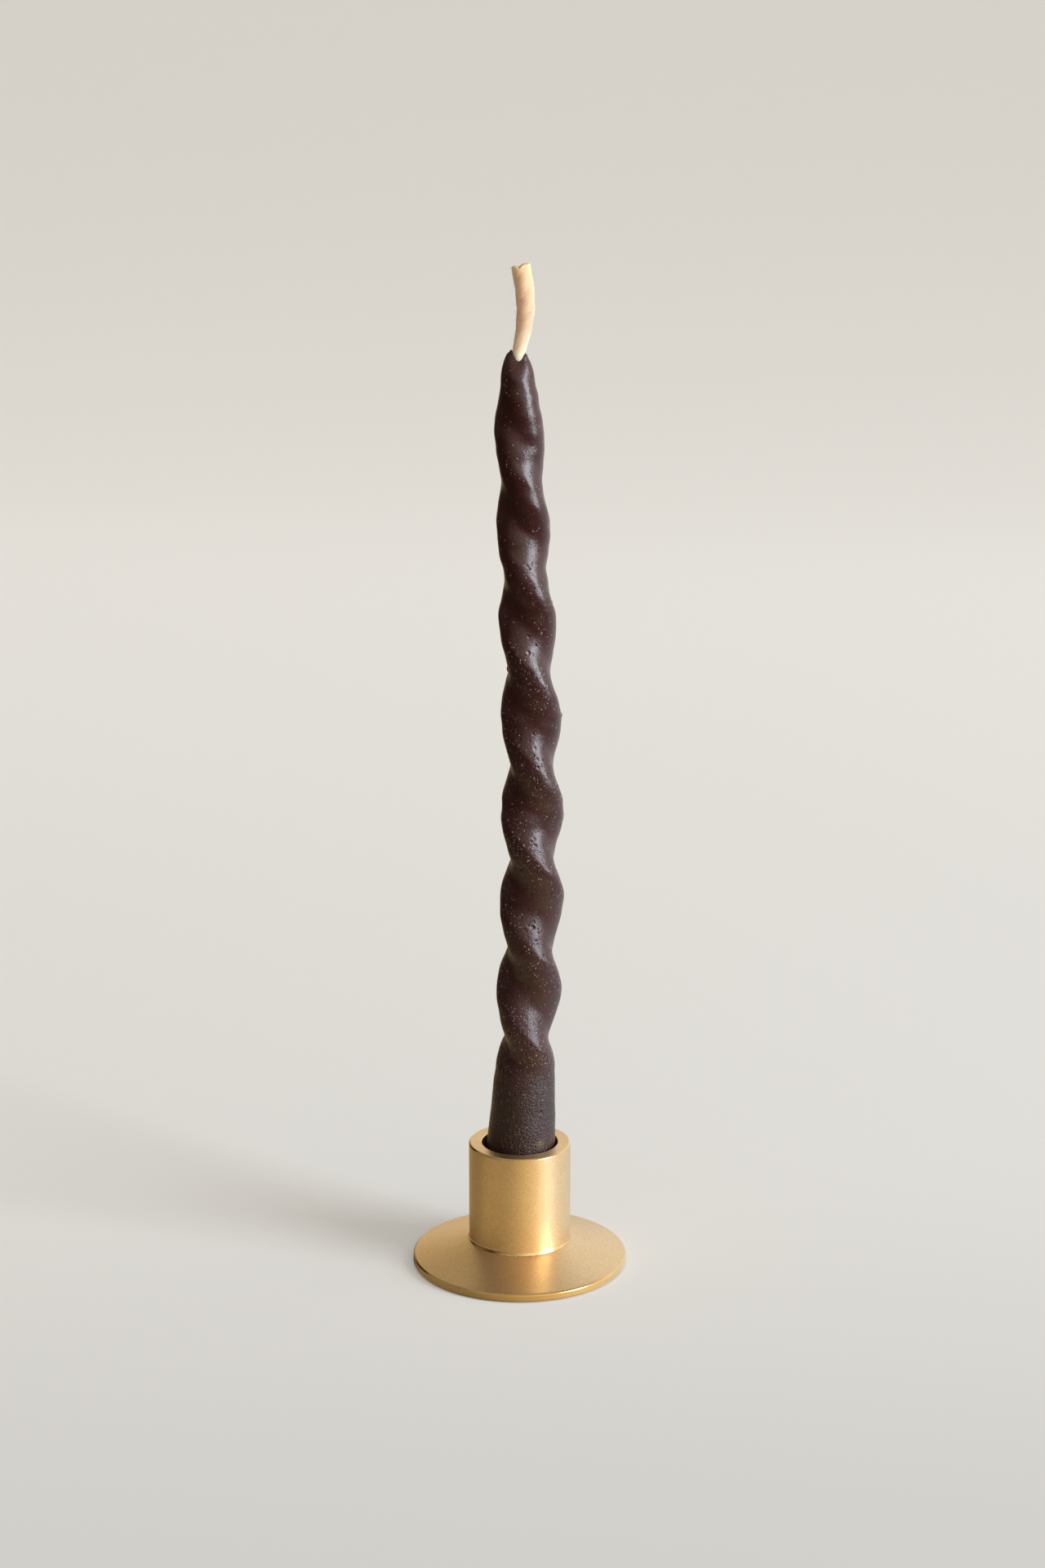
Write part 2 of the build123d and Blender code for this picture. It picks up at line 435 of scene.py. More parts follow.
@dataclass(frozen=True)
class WaxedCotton(Finish):
    """Braided cotton, pale and waxed where it leaves the candle and peach-brown towards its cut end; both
    ends are also lightened over the middle as painted light against the shade that falls on them.
    """

    name: str = "braided_cotton"
    slot: Slot = Slot.COTTON
    # Tones along the wick: the two ends carry painted light as well as their own colour.
    waxed_lit_tone: Colour = (0.97, 0.82, 0.60)
    middle_tone: Colour = (0.80, 0.57, 0.39)
    dry_tone: Colour = (0.84, 0.58, 0.38)
    lit_end_tone: Colour = (0.89, 0.64, 0.37)
    scatter: float = 0.6
    scatter_depth: float = 1.5 * MM
    scatter_spread: Vector = (1.0, 0.7, 0.5)
    shine: float = 0.25
    fibre_scale: float = 7.0
    fibre_depth_mm: float = 0.12
    cloud_mm: float = 1.2

    def paint(self, graph: ShaderGraph) -> None:
        """The along mark sets the tone, and fibres are noise stretched along the strands."""
        along = graph.mark("along")
        fibre_inputs = {
            "Vector": graph.mark("weave", output="Vector"),
            "Scale": self.fibre_scale,
            "Detail": 4.0,
            "Roughness": 0.65,
        }
        fibres = graph.node("ShaderNodeTexNoise", {}, fibre_inputs)
        clouds = graph.noise(graph.place(), self.cloud_mm, detail=3.0)
        # Both ends are lighter than the middle: the waxed and cut cotton, and painted light that offsets
        # their shade.
        stops = ((0.0, self.waxed_lit_tone), (0.3, self.middle_tone), (0.7, self.dry_tone), (1.0, self.lit_end_tone))
        tone = graph.node("ShaderNodeValToRGB", {"stops": stops}, {"Fac": along + (clouds - 0.5) * 0.3})
        shade = (fibres * 0.6 + clouds * 0.4).rise(0.25, 0.62) * 0.30 + 0.80
        shaded = graph.node("ShaderNodeVectorMath", {"operation": "SCALE"}, {"Vector": tone, "Scale": shade})
        graph.finish(
            Base_Color=shaded,
            Roughness=0.55 + along * 0.3,
            Subsurface_Weight=self.scatter,
            Subsurface_Radius=self.scatter_spread,
            Subsurface_Scale=self.scatter_depth,
            Specular_IOR_Level=self.shine,
            Normal=graph.bump(fibres, self.fibre_depth_mm, strength=0.8),
        )


@dataclass(frozen=True)
class BlackFelt(Finish):
    """Pressed black wool felt with pale stray fibres."""

    name: str = "pressed_felt"
    slot: Slot = Slot.FELT
    tone: Colour = (0.020, 0.019, 0.019)
    lint_tone: Colour = (0.075, 0.072, 0.070)
    nap: float = 0.25
    mat_mm: float = 0.35
    lump_mm: float = 2.5
    mat_depth_mm: float = 0.10

    def paint(self, graph: ShaderGraph) -> None:
        """Two sizes of noise mat the surface."""
        place = graph.place()
        mat = graph.noise(place, self.mat_mm, detail=5.0, roughness=0.7)
        lumps = graph.noise(place, self.lump_mm, detail=3.0)
        graph.finish(
            Base_Color=graph.mix(mat.rise(0.45, 0.75) * 0.8, self.tone, self.lint_tone),
            Roughness=0.92 + (lumps - 0.5) * 0.1,
            Sheen_Weight=self.nap,
            Normal=graph.bump(mat * 0.7 + lumps * 0.3, self.mat_depth_mm, strength=0.9),
        )


@dataclass(frozen=True)
class PlatedSteel(Finish):
    """Bright zinc-plated steel with faint clouding."""

    name: str = "zinc_plating"
    slot: Slot = Slot.STEEL
    tone: Colour = (0.60, 0.60, 0.61)
    dull_tone: Colour = (0.46, 0.46, 0.48)
    cloud_mm: float = 1.6
    grain_mm: float = 0.10
    grain_depth_mm: float = 0.004

    def paint(self, graph: ShaderGraph) -> None:
        """Clouds dull the plating in places, and a fine grain roughens it."""
        place = graph.place()
        clouds = graph.noise(place, self.cloud_mm, detail=4.0)
        grain = graph.noise(place, self.grain_mm, detail=2.0)
        graph.finish(
            Base_Color=graph.mix(clouds.rise(0.35, 0.7), self.tone, self.dull_tone),
            Metallic=1.0,
            Roughness=0.24 + clouds * 0.16,
            Normal=graph.bump(grain, self.grain_depth_mm, strength=0.5),
        )


# Meshes


@dataclass(frozen=True)
class NodeBox:
    """Lowest and highest corner of a solid of the frame, in millimetres."""

    low: np.ndarray
    high: np.ndarray

    @classmethod
    def of(cls, node: str) -> "NodeBox":
        """Read the box of a named solid."""
        low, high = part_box(node)
        return cls(np.array(low) / MM, np.array(high) / MM)


@dataclass
class Surface:
    """One mesh as arrays: points in millimetres, quads, triangles, and values kept per point."""

    points: np.ndarray
    quads: np.ndarray
    triangles: np.ndarray = field(default_factory=lambda: np.zeros((0, 3), int))
    marks: dict[str, np.ndarray] = field(default_factory=dict)

    def volume(self) -> float:
        """Signed volume: the sum of the tetrahedra between the origin and each triangle."""
        split = np.vstack([self.quads[:, [0, 1, 2]], self.quads[:, [0, 2, 3]], self.triangles])
        first, second, third = (self.points[split[:, i]] for i in range(3))
        return float(np.einsum("ij,ij->", first, np.cross(second, third)) / 6)

    def faces(self) -> list[list[int]]:
        """All faces, turned to point outwards."""
        step = 1 if self.volume() > 0 else -1
        return self.quads[:, ::step].tolist() + self.triangles[:, ::step].tolist()


def ease(share: np.ndarray) -> np.ndarray:
    """Smooth step from 0 to 1 with level ends: 3 s^2 - 2 s^3."""
    share = np.clip(share, 0.0, 1.0)
    return share * share * (3 - 2 * share)


def turn_from(angle: np.ndarray, middle: float) -> np.ndarray:
    """Angle from a middle one, between minus half a turn and half a turn."""
    return np.angle(np.exp(1j * (angle - middle)))


def on_axis(height: float) -> np.ndarray:
    """The point of the axis at a height."""
    return np.array([[0.0, 0.0, height]])


def ring_points(
    radius: np.ndarray | float,
    angle: np.ndarray,
    height: np.ndarray,
    centre: np.ndarray | float = 0.0,
) -> np.ndarray:
    """Points of rings about an upright axis: (centre + r cos a, r sin a, z).

    Args:
        radius: distance from the axis.
        angle: angle round it.
        height: height of each point.
        centre: sideways place of the axis.

    Returns:
        Points as rows x columns x 3.
    """
    parts = (centre + radius * np.cos(angle), radius * np.sin(angle), height)
    return np.stack(np.broadcast_arrays(*parts), axis=-1)


def grid_quads(rows: int, columns: int, looped: bool = False) -> np.ndarray:
    """Quads of a grid whose columns close on themselves.

    Args:
        rows: number of rows.
        columns: number of columns.
        looped: whether the last row joins the first one as well.

    Returns:
        Corner numbers, four for each quad.
    """
    index = np.arange(rows * columns).reshape(rows, columns)
    upper = np.roll(index, -1, axis=0) if looped else index[1:]
    lower = index if looped else index[:-1]
    corners = (lower, np.roll(lower, -1, axis=1), np.roll(upper, -1, axis=1), upper)
    return np.stack(corners, axis=-1).reshape(-1, 4)


def capped_tube(rings: np.ndarray, first_pole: np.ndarray, last_pole: np.ndarray) -> Surface:
    """Closed surface through rings of points, shut by a fan of triangles to a pole at each end.

    Args:
        rings: points as rows x columns x 3.
        first_pole: the point that the first ring closes to.
        last_pole: the point that the last ring closes to.

    Returns:
        The surface, with its two poles as its last two points.
    """
    rows, columns = rings.shape[:2]
    points = np.vstack([rings.reshape(-1, 3), first_pole, last_pole])
    around = np.arange(columns)
    after = np.roll(around, -1)
    pole = np.full(columns, rows * columns)
    top = (rows - 1) * columns
    first_fan = np.stack([pole, after, around], axis=1)
    last_fan = np.stack([pole + 1, top + around, top + after], axis=1)
    return Surface(points, grid_quads(rows, columns), np.vstack([first_fan, last_fan]))


def put_piece(
    name: str,
    surface: Surface,
    finish: Finish,
    body: Body,
    replaced: Sequence[str] = (),
) -> bpy.types.Object:
    """Make a mesh piece, dress it, and let it ride on its body.

    Args:
        name: the piece's name.
        surface: its points, faces and marks.
        finish: its surface finish.
        body: the body that it moves with.
        replaced: solids of the frame that it stands for.

    Returns:
        The new object.
    """
    mesh = bpy.data.meshes.new(name)
    mesh.from_pydata((surface.points * MM).tolist(), [], surface.faces())
    for mark, values in surface.marks.items():
        is_vector = values.ndim == 2
        made = mesh.attributes.new(mark, "FLOAT_VECTOR" if is_vector else "FLOAT", "POINT")
        made.data.foreach_set("vector" if is_vector else "value", values.astype(np.float32).ravel())
    mesh.polygons.foreach_set("use_smooth", np.ones(len(mesh.polygons), bool))
    mesh.update()
    piece = bpy.data.objects.new(name, mesh)
    bpy.context.scene.collection.objects.link(piece)
    finish.dress(piece)
    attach(piece, body.value)
    if replaced:
        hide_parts(*replaced)
    LOG.info("%s: %d points, %d faces", name, len(mesh.vertices), len(mesh.polygons))
    return piece


# Turned pieces


@dataclass(frozen=True)
class Corner:
    """A corner of a turned outline.

    Attributes:
        radius: distance from the axis.
        height: height above the table.
        soften: how far along both sides the corner is rounded.
        polish: how polished the face is that starts here.
    """

    radius: float
    height: float
    soften: float = 0.05
    polish: float = 0.0


@dataclass(frozen=True)
class TurnedOutline:
    """Half outline of a turned piece, with every corner rounded a little."""

    corners: Sequence[Corner]
    steps: int = 5
    support: float = 0.03

    def rounded(self) -> tuple[np.ndarray, np.ndarray]:
        """Outline points and their polish.

        Each corner C becomes the curve (1-u)^2 A + 2u(1-u) C + u^2 B between the points A and B on its two
        sides. A support point stands just outside of each end, so that the faces beside the corner stay flat.

        Returns:
            Points as rows of radius and height, and the polish of each.
        """
        middle = np.array([(c.radius, c.height) for c in self.corners])
        soften = np.array([c.soften for c in self.corners])[:, None]
        polish = np.array([c.polish for c in self.corners])
        incoming = self._unit(middle - np.roll(middle, 1, axis=0))
        outgoing = self._unit(np.roll(middle, -1, axis=0) - middle)
        before = (middle - soften * incoming)[:, None]
        after = (middle + soften * outgoing)[:, None]
        u = np.linspace(0, 1, self.steps)[None, :, None]
        curve = (1 - u) ** 2 * before + 2 * u * (1 - u) * middle[:, None] + u**2 * after
        lead_in = before - self.support * incoming[:, None]
        lead_out = after + self.support * outgoing[:, None]
        share = np.concatenate([[0.0], np.linspace(0, 1, self.steps), [1.0]])[None]
        shine = np.roll(polish, 1)[:, None] * (1 - share) + polish[:, None] * share
        points = np.concatenate([lead_in, curve, lead_out], axis=1)
        return points.reshape(-1, 2), shine.ravel()

    @staticmethod
    def _unit(vectors: np.ndarray) -> np.ndarray:
        """Vectors of length 1."""
        return vectors / np.linalg.norm(vectors, axis=1, keepdims=True)


def turn_outline(outline: TurnedOutline, columns: int) -> Surface:
    """Turn an outline about the axis: (r cos a, r sin a, z) for each outline point.

    Args:
        outline: a closed outline clear of the axis, or one that starts and ends on it.
        columns: number of points round the axis.

    Returns:
        A ring, or a solid that is shut by a fan of triangles at each end of the outline.
    """
    profile, polish = outline.rounded()
    off_axis = profile[:, 0] > 1e-6
    ends = profile[[0, -1], 1]
    is_ring = off_axis.all()
    profile, polish = profile[off_axis], polish[off_axis]
    angle = np.linspace(0, FULL_TURN, columns, endpoint=False)
    radius, height = profile[:, :1], profile[:, 1:]
    points = ring_points(radius, angle, height)
    polish = np.repeat(polish, columns)
    if is_ring:
        quads = grid_quads(*points.shape[:2], looped=True)
        return Surface(points.reshape(-1, 3), quads, marks={"polish": polish})
    solid = capped_tube(points, on_axis(ends[0]), on_axis(ends[1]))
    solid.marks = {"polish": np.append(polish, [0.0, 0.0])}
    return solid


@dataclass
class BrassHolder:
    """Turned brass holder: a low cone with a polished rim, a thick-walled cup on it and a felt pad below."""

    rim_height: float = 1.25
    edge_chamfer: float = 0.25
    under_chamfer: float = 0.1
    pad_recess_gap: float = 0.1
    pad_thickness: float = 0.8
    pocket_radius: float = 4.0
    pocket_top: float = 3.1
    plate_bore_radius: float = 2.55
    cup_radius: float = 9.0
    cup_wall: float = 2.3
    mouth_chamfer: float = 0.12
    foot_land: float = 0.08
    flare_height: float = 0.45
    spigot_radius: float = 2.5
    tap_radius: float = 1.52
    floor_skin: float = 0.6
    pad_squareness: float = 0.6
    pad_ragged: float = 0.03
    pad_matting: float = 0.012
    pad_columns: int = 160
    columns: int = 288
    brass: SatinBrass = field(default_factory=SatinBrass)
    felt: BlackFelt = field(default_factory=BlackFelt)
    steel: PlatedSteel = field(default_factory=PlatedSteel)

    def __post_init__(self) -> None:
        """Take the overall sizes from the frame."""
        base = NodeBox.of("base_plate")
        cup = NodeBox.of("candle_cup")
        pad = NodeBox.of("felt_pad")
        self.base_radius = base.high[0]
        self.base_bottom = base.low[2]
        self.seat = base.high[2]
        self.rim_top = self.base_bottom + self.rim_height
        self.foot_radius = cup.high[0]
        self.cup_top = cup.high[2]
        self.spigot_bottom = cup.low[2]
        self.socket_radius = self.cup_radius - self.cup_wall
        self.socket_floor = NodeBox.of("candle_wax").low[2]
        self.pad_radius = pad.high[0]

    def build(self) -> None:
        """Make the plate, the cup and the pad, and dress the two fasteners."""
        put_piece("brass_base", self.base_surface(), self.brass, Body.HOLDER, ["base_plate"])
        put_piece("brass_cup", self.cup_surface(), self.brass, Body.HOLDER, ["candle_cup"])
        pad = put_piece("felt_disc", self.pad_surface(), self.felt, Body.HOLDER, ["felt_pad"])
        for node in ("cup_screw", "cup_washer"):
            self.steel.dress(bpy.data.objects[node])

    def base_surface(self) -> Surface:
        """Ring turned from the plate's outline: bore, seat, cone, rim, pad recess and screw pocket."""
        recess = self.pad_radius + self.pad_recess_gap
        inner_edge = self.base_radius - self.edge_chamfer
        corners = [
            Corner(self.plate_bore_radius, self.pocket_top),
            Corner(self.plate_bore_radius, self.seat),
            Corner(self.foot_radius, self.seat, soften=0.02),
            Corner(inner_edge, self.rim_top, soften=0.07, polish=1.0),
            Corner(self.base_radius, self.rim_top - self.edge_chamfer, soften=0.08, polish=0.75),
            Corner(self.base_radius, self.base_bottom + self.under_chamfer, soften=0.03, polish=1.0),
            Corner(self.base_radius - self.under_chamfer, self.base_bottom, soften=0.03),
            Corner(recess, self.base_bottom),
            Corner(recess, self.pad_thickness),
            Corner(self.pocket_radius, self.pad_thickness),
            Corner(self.pocket_radius, self.pocket_top),
        ]
        return turn_outline(TurnedOutline(corners), self.columns)

    def cup_surface(self) -> Surface:
        """Cup turned from its outline: wall with a flared foot, mouth, socket, tapped hole and spigot."""
        land_top = self.seat + self.foot_land
        tap_top = self.socket_floor - self.floor_skin
        corners = [
            Corner(0.0, tap_top, soften=0.0),
            Corner(self.tap_radius, tap_top),
            Corner(self.tap_radius, self.spigot_bottom),
            Corner(self.spigot_radius, self.spigot_bottom),
            Corner(self.spigot_radius, self.seat),
            Corner(self.foot_radius, self.seat, soften=0.02),
            Corner(self.foot_radius, land_top, soften=0.02, polish=1.0),
            Corner(self.cup_radius, land_top + self.flare_height, soften=0.25),
            Corner(self.cup_radius, self.cup_top - self.edge_chamfer, soften=0.07, polish=1.0),
            Corner(self.cup_radius - self.edge_chamfer, self.cup_top, soften=0.07),
            Corner(self.socket_radius + self.mouth_chamfer, self.cup_top, soften=0.04, polish=1.0),
            Corner(self.socket_radius, self.cup_top - self.mouth_chamfer, soften=0.04, polish=0.3),
            Corner(self.socket_radius, self.socket_floor),
            Corner(0.0, self.socket_floor, soften=0.0),
        ]
        return turn_outline(TurnedOutline(corners), self.columns)

    def pad_surface(self) -> Surface:
        """Felt disc: a rounded disc whose edge and underside are uneven by a few hundredths.

        The radius shrinks by small sines round the edge, and the underside rises by crossed sines, so that
        the disc stays inside its recess and on the table.
        """
        angle = np.linspace(0, FULL_TURN, self.pad_columns, endpoint=False)
        turn = np.linspace(0, math.pi, 15)[:, None]
        half = self.pad_thickness / 2
        flat = np.linspace(0.08, 0.98, 22)[:, None] * (self.pad_radius - half)
        edge_radius = self.pad_radius - half + half * np.sin(turn) ** self.pad_squareness
        edge_height = half - half * np.sign(np.cos(turn)) * np.abs(np.cos(turn)) ** self.pad_squareness
        radius = np.vstack([flat, edge_radius, flat[::-1]])
        height = np.vstack([np.zeros_like(flat), edge_height, np.full_like(flat, self.pad_thickness)])
        ragged = self.pad_ragged * (2 + np.sin(23 * angle + 1.0) + np.sin(41 * angle + 2.4))
        radius = radius - ragged * (radius / self.pad_radius) ** 8
        crossed = 2 + np.sin(radius * 5.1 + 3 * angle) + np.sin(radius * 3.3 - 7 * angle)
        matted = self.pad_matting * crossed
        height = height + matted * (1 - 2 * height / self.pad_thickness)
        rings = ring_points(radius, angle, height)
        return capped_tube(rings, on_axis(height[0].mean()), on_axis(height[-1].mean()))


# Candle


@dataclass(frozen=True)
class Mark:
    """A dent in the wax, or a nub where its depth is negative.

    Attributes:
        height: height above the candle's foot.
        angle: degrees round the axis from +X.
        tall: half its height.
        wide: half its width round the candle.
        depth: how deep it is in the middle.
    """

    height: float
    angle: float
    tall: float
    wide: float
    depth: float


@dataclass
class TwistedCandle:
    """Two-lobed twisted candle with a bow, a pointed tip and one wick.

    Heights are measured from the candle's foot.
    """

    plug_radius: float = 6.2
    foot_straight: float = 11.6
    foot_taper: float = 0.06
    foot_round: float = 0.6
    twist_start: float = 27.0
    twist_blend: float = 6.2
    body_radius: float = 4.74
    shoulder_radius: float = 3.79
    taper_power: float = 1.58
    flatten_low: float = 0.207
    flatten_high: float = 0.122
    edge_share: float = 0.21
    edge_blunt: float = 0.08
    edge_lead: float = 0.28
    edge_reach: float = 0.25
    half_turn: float = 16.3
    first_bulge: float = 41.9
    tip_length: float = 14.8
    tip_fullness: float = 0.38
    tip_lip: float = 0.3
    bow: float = 2.2
    bow_start: float = 9.8
    bow_peak: float = 70.9
    bow_end: float = -0.5
    wick_radius: float = 1.05
    wick_end_radius: float = 1.6
    wick_stub: float = 14.6
    wick_exit: float = 0.15
    wick_set: float = 0.35
    wick_bend: float = 1.03
    wick_swell_share: float = 0.8
    strand_turns: float = 1.35
    strand_relief: float = 0.07
    cleft_depth: float = 0.42
    cleft_place: float = -0.3
    cleft_width: float = 0.36
    fuzz_count: int = 420
    fuzz_length: tuple[float, float] = (0.15, 0.55)
    fuzz_curl: float = 0.5
    fuzz_radius: float = 0.014
    channel_gap: float = 0.02
    hidden_top: float = 13.0
    lip_rise: float = 0.16
    lip_blend: float = 5.0
    lip_mean: float = -0.49
    lip_lean: float = -0.275
    lip_saddle: float = 0.76
    lump_lengths: tuple[float, float] = (3.0, 24.0)
    lump_count: int = 16
    lump_size: float = 0.0075
    crowd_low: float = 0.95
    crowd_loss: float = 0.68
    crowd_fade: tuple[float, float] = (62.0, 66.0)
    random_pits: int = 230
    pit_heights: tuple[float, float] = (15.0, 6.0)
    pit_radius: float = 0.24
    pit_spread: float = 0.28
    pit_depth: float = 0.75
    columns: int = 132
    body_rows: int = 632
    wick_columns: int = 60
    seed: int = 11
    wax: DyedWax = field(default_factory=DyedWax)
    cotton: WaxedCotton = field(default_factory=WaxedCotton)
    seen_marks: Sequence[Mark] = (
        Mark(68.1, -72, 0.16, 1.25, 0.22),
        Mark(61.2, -87, 0.22, 0.60, 0.20),
        Mark(99.4, 187, 0.85, 0.95, -0.26),
        Mark(91.4, -2, 0.60, 0.70, -0.17),
        Mark(111.0, -3, 0.60, 0.70, -0.18),
        Mark(65.9, -8, 0.30, 0.40, 0.30),
        Mark(86.4, -82, 0.28, 0.28, 0.22),
        Mark(84.6, -78, 0.28, 0.28, 0.22),
        Mark(69.4, -83, 0.30, 0.32, 0.24),
        Mark(70.2, -92, 0.24, 0.26, 0.20),
        Mark(102.6, -79, 0.22, 0.24, 0.20),
        Mark(100.3, -64, 0.34, 0.24, 0.22),
        Mark(104.0, -68, 0.24, 0.26, 0.18),
        Mark(118.0, -71, 0.26, 0.24, 0.20),
        Mark(116.4, -72, 0.24, 0.24, 0.20),
        Mark(52.5, -79, 0.30, 0.30, 0.22),
        Mark(55.2, -97, 0.28, 0.34, 0.22),
        Mark(33.2, -66, 0.28, 0.28, 0.20),
        Mark(81.1, -49, 0.36, 0.36, 0.24),
        Mark(33.7, -163, 0.42, 0.50, 0.17),
        Mark(33.3, -156, 0.42, 0.50, 0.20),
        Mark(32.9, -149, 0.42, 0.50, 0.20),
        Mark(32.5, -142, 0.42, 0.50, 0.17),
        Mark(32.1, -136, 0.42, 0.50, 0.12),
    )
    # Brassy patch painted on the wax just above the cup: height, angle in degrees, half sizes and strength.
    brassy_height: float = 15.4
    brassy_angle: float = -56.0
    brassy_tall: float = 0.55
    brassy_wide: float = 0.8
    brassy_share: float = 0.75

    def __post_init__(self) -> None:
        """Take the candle's place and length from the frame."""
        wax = NodeBox.of("candle_wax")
        self.foot = wax.low[2]
        self.length = wax.high[2] - wax.low[2]
        self.shoulder = self.length - self.tip_length
        self.wick_top = self.length + self.wick_stub
        self.random = np.random.default_rng(self.seed)

    def build(self) -> None:
        """Make the wax body, the wick and the wick's stray fibres."""
        put_piece("twisted_wax", self.wax_surface(), self.wax, Body.CANDLE, ["candle_wax"])
        put_piece("wick_cord", self.wick_surface(), self.cotton, Body.CANDLE, ["candle_wick"])
        put_piece("wick_fuzz", self.fuzz_surface(), self.cotton, Body.CANDLE)

    def bow_at(self, height: np.ndarray) -> np.ndarray:
        """Sideways place of the axis: a quarter sine up to the peak, then half a cosine wave back."""
        rise = np.clip((height - self.bow_start) / (self.bow_peak - self.bow_start), 0, 1)
        fall = np.clip((height - self.bow_peak) / (self.wick_top - self.bow_peak), 0, 1)
        rising = self.bow * np.sin(rise * math.pi / 2)
        falling = self.bow_end + (self.bow - self.bow_end) * (1 + np.cos(fall * math.pi)) / 2
        return np.where(height < self.bow_peak, rising, falling)

    def turn_at(self, height: np.ndarray) -> np.ndarray:
        """Angle of the lobes, left-handed, half a turn for every half_turn of height."""
        return -math.pi * (height - self.first_bulge) / self.half_turn

    def section_radii(self, height: np.ndarray) -> tuple[np.ndarray, np.ndarray]:
        """Mean radius and lobe height of the wax at each height.

        The foot tapers in a straight line, the body by a power of the height, and the tip is an ogive
        (1 - s^2)^fullness. The lobes fade in above the foot and out towards the tip.

        Args:
            height: heights above the candle's foot.

        Returns:
            Mean radius, and how far the lobes stand out from it.
        """
        foot = self.plug_radius - self.foot_taper * np.maximum(height - self.foot_straight, 0)
        along = np.clip((height - self.twist_start) / (self.shoulder - self.twist_start), 0, 1)
        body = self.body_radius - (self.body_radius - self.shoulder_radius) * along**self.taper_power
        twisted = ease((height - self.twist_start) / self.twist_blend)
        mean = foot + (body - foot) * twisted
        lobe = (self.flatten_low + (self.flatten_high - self.flatten_low) * along) * twisted
        lip_ratio = (self.wick_radius + self.tip_lip) / self.shoulder_radius
        tip_share = math.sqrt(1 - lip_ratio ** (1 / self.tip_fullness))
        into_tip = np.clip((height - self.shoulder) / self.tip_length, 0, 1) * tip_share
        mean = mean * (1 - into_tip**2) ** self.tip_fullness
        return mean, mean * lobe * (1 - into_tip)

    def lumps(self, height: np.ndarray, angle: np.ndarray) -> np.ndarray:
        """Uneven skin of the casting: a sum of slow waves of random pitch, heading and phase."""
        total = np.zeros(np.broadcast(height, angle).shape)
        for wave_length in np.geomspace(*self.lump_lengths, self.lump_count):
            lobes = self.random.integers(0, 5)
            phase = self.random.uniform(0, FULL_TURN)
            size = self.lump_size * wave_length**0.6
            total += size * np.cos(FULL_TURN * height / wave_length + lobes * angle + phase)
        return total

    def pit_marks(self) -> list[Mark]:
        """The marks seen on the candle, and random pits that crowd its lower two thirds."""
        count = self.random_pits
        low, high = self.pit_heights[0], self.length - self.pit_heights[1]
        heights = low + (high - low) * self.random.beta(1.25, 1.75, count)
        angles = self.random.uniform(-180, 180, count)
        radii = self.random.lognormal(math.log(self.pit_radius), self.pit_spread, count)
        stretch = self.random.uniform(0.8, 1.3, count)
        sizes = (radii * stretch, radii / stretch, radii * self.pit_depth)
        return [*self.seen_marks, *map(Mark, heights, angles, *sizes)]

    def dents(self, height: np.ndarray, angle: np.ndarray, radius: np.ndarray) -> np.ndarray:
        """Depth of all marks: each is depth * (1 - d^2)^2, where d is the distance over its half size."""
        total = np.zeros(height.shape)
        for mark in self.pit_marks():
            around = turn_from(angle, math.radians(mark.angle)) * radius
            distance = ((height - mark.height) / mark.tall) ** 2 + (around / mark.wide) ** 2
            total += mark.depth * np.clip(1 - distance, 0, None) ** 2
        return total

    def lip(self, angle: np.ndarray) -> np.ndarray:
        """How far the wax climbs the wick: high on the left and right, low at the front and back."""
        return self.lip_mean + self.lip_lean * np.cos(angle) + self.lip_saddle * np.cos(2 * angle)

    def wax_surface(self) -> Surface:
        """Closed skin of the wax: underside, rounded foot, twisted body, lip round the wick, and channel.

        Each row is a ring of radius mean + lobe (cos(2a) + share * edge), where a goes round with the lobes.
        The rows run from the channel outwards under the foot, up the body, over the lip and down the channel.

        Returns:
            The surface, with marks for how crowded its pits are and for a brassy patch painted above the cup.
        """
        column = np.linspace(0, FULL_TURN, self.columns, endpoint=False)[None]
        channel = self.wick_radius + self.channel_gap
        rounding = np.linspace(0, math.pi / 2, 6)[:, None]
        under = np.linspace(channel, self.plug_radius - self.foot_round, 7)[:-1, None]
        foot_radius = self.plug_radius - self.foot_round * (1 - np.sin(rounding))
        foot_height = self.foot_round * (1 - np.cos(rounding))
        hidden = np.arange(self.foot_round + 0.8, self.hidden_top, 0.9)
        shown = np.linspace(self.hidden_top + 0.2, self.length, self.body_rows)
        body = np.concatenate([hidden, shown])[:, None]
        mean, lobe = self.section_radii(body)
        over = np.linspace(0, math.pi / 2, 5)[1:, None]
        lip_radius = channel + (mean[-1] - channel) * np.cos(over)
        lip_height = self.length + self.lip_rise * np.sin(over)
        down = np.linspace(self.length - 0.5, 0.2, 44)[:, None]

        height = np.vstack([np.zeros_like(under), foot_height, body, lip_height, down])
        radius = np.vstack([
            under + 0 * column,
            foot_radius + 0 * column,
            mean + lobe * (np.cos(2 * column) + self.edge_share * self.edge(column)),
            lip_radius + 0 * column,
            np.full_like(down, channel) + 0 * column,
        ])
        angle = column + self.turn_at(height)
        first, last = len(under) + len(foot_height), len(height) - len(down) - len(lip_height)
        skin = slice(first, last)
        fade = (0.3 + 0.7 * ease((height - 22.0) / 12.0)) * ease((height - self.hidden_top) / 4.0)
        fade = fade * ease((self.length - height) / self.lip_blend)
        grid_height = height + 0 * column
        radius[skin] += (self.lumps(grid_height, angle) * fade)[skin]
        radius[skin] -= self.dents(grid_height[skin], angle[skin], radius[skin])
        climb = ease((height - self.length + self.lip_blend) / self.lip_blend) * self.lip(angle)
        centre = self.bow_at(height) + self.wick_exit * self.exit_share(height) * (radius < channel + 0.5)
        points = ring_points(radius, angle, self.foot + grid_height + climb, centre)
        marks = {
            "crowd": self.crowd(height, column).ravel(),
            "brassy_patch": self.brassy_patch(grid_height, angle).ravel(),
        }
        return Surface(points.reshape(-1, 3), grid_quads(*points.shape[:2], looped=True), marks=marks)

